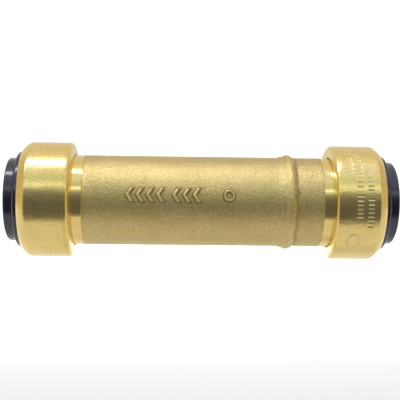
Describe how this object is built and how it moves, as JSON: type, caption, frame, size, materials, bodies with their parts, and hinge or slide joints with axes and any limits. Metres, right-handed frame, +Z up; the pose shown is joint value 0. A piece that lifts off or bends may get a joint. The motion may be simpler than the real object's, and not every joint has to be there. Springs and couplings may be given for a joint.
{
  "type": "push fit coupling",
  "caption": "Straight push-fit slip coupling for tube: cast brass body with raised bead, domed brass end caps and dark release collars around toothed grab rings and seals.",
  "frame": {"origin": "on the axis of the bore, half way between the two release collars' ends", "axes": "+X along the bore from the slip end to the fixed end, -Y towards the marks cast on the body, +Z up"},
  "size_m": [0.1156, 0.0344, 0.0344],
  "materials": {
    "cast_brass": "sand-cast, matte",
    "polished_brass": "turned and polished",
    "navy_plastic": "moulded, glossy dark navy",
    "spring_steel": "stamped stainless sheet",
    "seal_rubber": "moulded, lightly greased",
    "grey_plastic": "moulded"
  },
  "bodies": {
    "fitting": {"coupling_body": "cast_brass", "slip_end_cap": "polished_brass", "slip_support_ring": "navy_plastic", "slip_seal_protector": "grey_plastic", "slip_seal": "seal_rubber", "fixed_end_cap": "polished_brass", "fixed_support_ring": "navy_plastic", "fixed_seal_protector": "grey_plastic", "fixed_seal": "seal_rubber"},
    "slip_collar": {"slip_release_collar": "navy_plastic"},
    "slip_grab_ring": {"slip_grab_ring_rim": "spring_steel"},
    "slip_tooth_01": {"slip_grab_tooth_01": "spring_steel"},
    "slip_tooth_02": {"slip_grab_tooth_02": "spring_steel"},
    "slip_tooth_03": {"slip_grab_tooth_03": "spring_steel"},
    "slip_tooth_04": {"slip_grab_tooth_04": "spring_steel"},
    "slip_tooth_05": {"slip_grab_tooth_05": "spring_steel"},
    "slip_tooth_06": {"slip_grab_tooth_06": "spring_steel"},
    "slip_tooth_07": {"slip_grab_tooth_07": "spring_steel"},
    "slip_tooth_08": {"slip_grab_tooth_08": "spring_steel"},
    "slip_tooth_09": {"slip_grab_tooth_09": "spring_steel"},
    "slip_tooth_10": {"slip_grab_tooth_10": "spring_steel"},
    "slip_tooth_11": {"slip_grab_tooth_11": "spring_steel"},
    "slip_tooth_12": {"slip_grab_tooth_12": "spring_steel"},
    "fixed_collar": {"fixed_release_collar": "navy_plastic"},
    "fixed_grab_ring": {"fixed_grab_ring_rim": "spring_steel"},
    "fixed_tooth_01": {"fixed_grab_tooth_01": "spring_steel"},
    "fixed_tooth_02": {"fixed_grab_tooth_02": "spring_steel"},
    "fixed_tooth_03": {"fixed_grab_tooth_03": "spring_steel"},
    "fixed_tooth_04": {"fixed_grab_tooth_04": "spring_steel"},
    "fixed_tooth_05": {"fixed_grab_tooth_05": "spring_steel"},
    "fixed_tooth_06": {"fixed_grab_tooth_06": "spring_steel"},
    "fixed_tooth_07": {"fixed_grab_tooth_07": "spring_steel"},
    "fixed_tooth_08": {"fixed_grab_tooth_08": "spring_steel"},
    "fixed_tooth_09": {"fixed_grab_tooth_09": "spring_steel"},
    "fixed_tooth_10": {"fixed_grab_tooth_10": "spring_steel"},
    "fixed_tooth_11": {"fixed_grab_tooth_11": "spring_steel"},
    "fixed_tooth_12": {"fixed_grab_tooth_12": "spring_steel"}
  },
  "joints": [
    {"name": "slip_collar_press", "type": "slide", "parent": "fitting", "child": "slip_collar", "axis": [1, 0, 0], "range_m": [0, 0.0016], "stiffness_N_per_m": 3000, "springref_m": -0.001},
    {"name": "slip_grab_ring_spin", "type": "hinge", "parent": "fitting", "child": "slip_grab_ring", "pos_m": [-0.04837, 0, 0], "axis": [1, 0, 0], "continuous": true},
    {"name": "slip_tooth_01_bend", "type": "hinge", "parent": "slip_grab_ring", "child": "slip_tooth_01", "pos_m": [-0.04837, 0, 0.0143], "axis": [0, -1, 0], "range_deg": [0, 26]},
    {"name": "slip_tooth_02_bend", "type": "hinge", "parent": "slip_grab_ring", "child": "slip_tooth_02", "pos_m": [-0.04837, 0.00715, 0.01238], "axis": [0, -0.866, 0.5], "range_deg": [0, 26]},
    {"name": "slip_tooth_03_bend", "type": "hinge", "parent": "slip_grab_ring", "child": "slip_tooth_03", "pos_m": [-0.04837, 0.01238, 0.00715], "axis": [0, -0.5, 0.866], "range_deg": [0, 26]},
    {"name": "slip_tooth_04_bend", "type": "hinge", "parent": "slip_grab_ring", "child": "slip_tooth_04", "pos_m": [-0.04837, 0.0143, 0], "axis": [0, 0, 1], "range_deg": [0, 26]},
    {"name": "slip_tooth_05_bend", "type": "hinge", "parent": "slip_grab_ring", "child": "slip_tooth_05", "pos_m": [-0.04837, 0.01238, -0.00715], "axis": [0, 0.5, 0.866], "range_deg": [0, 26]},
    {"name": "slip_tooth_06_bend", "type": "hinge", "parent": "slip_grab_ring", "child": "slip_tooth_06", "pos_m": [-0.04837, 0.00715, -0.01238], "axis": [0, 0.866, 0.5], "range_deg": [0, 26]},
    {"name": "slip_tooth_07_bend", "type": "hinge", "parent": "slip_grab_ring", "child": "slip_tooth_07", "pos_m": [-0.04837, 0, -0.0143], "axis": [0, 1, 0], "range_deg": [0, 26]},
    {"name": "slip_tooth_08_bend", "type": "hinge", "parent": "slip_grab_ring", "child": "slip_tooth_08", "pos_m": [-0.04837, -0.00715, -0.01238], "axis": [0, 0.866, -0.5], "range_deg": [0, 26]},
    {"name": "slip_tooth_09_bend", "type": "hinge", "parent": "slip_grab_ring", "child": "slip_tooth_09", "pos_m": [-0.04837, -0.01238, -0.00715], "axis": [0, 0.5, -0.866], "range_deg": [0, 26]},
    {"name": "slip_tooth_10_bend", "type": "hinge", "parent": "slip_grab_ring", "child": "slip_tooth_10", "pos_m": [-0.04837, -0.0143, 0], "axis": [0, 0, -1], "range_deg": [0, 26]},
    {"name": "slip_tooth_11_bend", "type": "hinge", "parent": "slip_grab_ring", "child": "slip_tooth_11", "pos_m": [-0.04837, -0.01238, 0.00715], "axis": [0, -0.5, -0.866], "range_deg": [0, 26]},
    {"name": "slip_tooth_12_bend", "type": "hinge", "parent": "slip_grab_ring", "child": "slip_tooth_12", "pos_m": [-0.04837, -0.00715, 0.01238], "axis": [0, -0.866, -0.5], "range_deg": [0, 26]},
    {"name": "fixed_collar_press", "type": "slide", "parent": "fitting", "child": "fixed_collar", "axis": [-1, 0, 0], "range_m": [0, 0.0016], "stiffness_N_per_m": 3000, "springref_m": -0.001},
    {"name": "fixed_grab_ring_spin", "type": "hinge", "parent": "fitting", "child": "fixed_grab_ring", "pos_m": [0.04837, 0, 0], "axis": [1, 0, 0], "continuous": true},
    {"name": "fixed_tooth_01_bend", "type": "hinge", "parent": "fixed_grab_ring", "child": "fixed_tooth_01", "pos_m": [0.04837, 0, 0.0143], "axis": [0, 1, 0], "range_deg": [0, 26]},
    {"name": "fixed_tooth_02_bend", "type": "hinge", "parent": "fixed_grab_ring", "child": "fixed_tooth_02", "pos_m": [0.04837, -0.00715, 0.01238], "axis": [0, 0.866, 0.5], "range_deg": [0, 26]},
    {"name": "fixed_tooth_03_bend", "type": "hinge", "parent": "fixed_grab_ring", "child": "fixed_tooth_03", "pos_m": [0.04837, -0.01238, 0.00715], "axis": [0, 0.5, 0.866], "range_deg": [0, 26]},
    {"name": "fixed_tooth_04_bend", "type": "hinge", "parent": "fixed_grab_ring", "child": "fixed_tooth_04", "pos_m": [0.04837, -0.0143, 0], "axis": [0, 0, 1], "range_deg": [0, 26]},
    {"name": "fixed_tooth_05_bend", "type": "hinge", "parent": "fixed_grab_ring", "child": "fixed_tooth_05", "pos_m": [0.04837, -0.01238, -0.00715], "axis": [0, -0.5, 0.866], "range_deg": [0, 26]},
    {"name": "fixed_tooth_06_bend", "type": "hinge", "parent": "fixed_grab_ring", "child": "fixed_tooth_06", "pos_m": [0.04837, -0.00715, -0.01238], "axis": [0, -0.866, 0.5], "range_deg": [0, 26]},
    {"name": "fixed_tooth_07_bend", "type": "hinge", "parent": "fixed_grab_ring", "child": "fixed_tooth_07", "pos_m": [0.04837, 0, -0.0143], "axis": [0, -1, 0], "range_deg": [0, 26]},
    {"name": "fixed_tooth_08_bend", "type": "hinge", "parent": "fixed_grab_ring", "child": "fixed_tooth_08", "pos_m": [0.04837, 0.00715, -0.01238], "axis": [0, -0.866, -0.5], "range_deg": [0, 26]},
    {"name": "fixed_tooth_09_bend", "type": "hinge", "parent": "fixed_grab_ring", "child": "fixed_tooth_09", "pos_m": [0.04837, 0.01238, -0.00715], "axis": [0, -0.5, -0.866], "range_deg": [0, 26]},
    {"name": "fixed_tooth_10_bend", "type": "hinge", "parent": "fixed_grab_ring", "child": "fixed_tooth_10", "pos_m": [0.04837, 0.0143, 0], "axis": [0, 0, -1], "range_deg": [0, 26]},
    {"name": "fixed_tooth_11_bend", "type": "hinge", "parent": "fixed_grab_ring", "child": "fixed_tooth_11", "pos_m": [0.04837, 0.01238, 0.00715], "axis": [0, 0.5, -0.866], "range_deg": [0, 26]},
    {"name": "fixed_tooth_12_bend", "type": "hinge", "parent": "fixed_grab_ring", "child": "fixed_tooth_12", "pos_m": [0.04837, 0.00715, 0.01238], "axis": [0, 0.866, -0.5], "range_deg": [0, 26]}
  ],
  "couplings": [
    {"joint": "slip_tooth_01_bend", "follows": "slip_collar_press", "rad_per_m": 278.85},
    {"joint": "slip_tooth_02_bend", "follows": "slip_collar_press", "rad_per_m": 278.85},
    {"joint": "slip_tooth_03_bend", "follows": "slip_collar_press", "rad_per_m": 278.85},
    {"joint": "slip_tooth_04_bend", "follows": "slip_collar_press", "rad_per_m": 278.85},
    {"joint": "slip_tooth_05_bend", "follows": "slip_collar_press", "rad_per_m": 278.85},
    {"joint": "slip_tooth_06_bend", "follows": "slip_collar_press", "rad_per_m": 278.85},
    {"joint": "slip_tooth_07_bend", "follows": "slip_collar_press", "rad_per_m": 278.85},
    {"joint": "slip_tooth_08_bend", "follows": "slip_collar_press", "rad_per_m": 278.85},
    {"joint": "slip_tooth_09_bend", "follows": "slip_collar_press", "rad_per_m": 278.85},
    {"joint": "slip_tooth_10_bend", "follows": "slip_collar_press", "rad_per_m": 278.85},
    {"joint": "slip_tooth_11_bend", "follows": "slip_collar_press", "rad_per_m": 278.85},
    {"joint": "slip_tooth_12_bend", "follows": "slip_collar_press", "rad_per_m": 278.85},
    {"joint": "fixed_tooth_01_bend", "follows": "fixed_collar_press", "rad_per_m": 278.85},
    {"joint": "fixed_tooth_02_bend", "follows": "fixed_collar_press", "rad_per_m": 278.85},
    {"joint": "fixed_tooth_03_bend", "follows": "fixed_collar_press", "rad_per_m": 278.85},
    {"joint": "fixed_tooth_04_bend", "follows": "fixed_collar_press", "rad_per_m": 278.85},
    {"joint": "fixed_tooth_05_bend", "follows": "fixed_collar_press", "rad_per_m": 278.85},
    {"joint": "fixed_tooth_06_bend", "follows": "fixed_collar_press", "rad_per_m": 278.85},
    {"joint": "fixed_tooth_07_bend", "follows": "fixed_collar_press", "rad_per_m": 278.85},
    {"joint": "fixed_tooth_08_bend", "follows": "fixed_collar_press", "rad_per_m": 278.85},
    {"joint": "fixed_tooth_09_bend", "follows": "fixed_collar_press", "rad_per_m": 278.85},
    {"joint": "fixed_tooth_10_bend", "follows": "fixed_collar_press", "rad_per_m": 278.85},
    {"joint": "fixed_tooth_11_bend", "follows": "fixed_collar_press", "rad_per_m": 278.85},
    {"joint": "fixed_tooth_12_bend", "follows": "fixed_collar_press", "rad_per_m": 278.85}
  ]
}
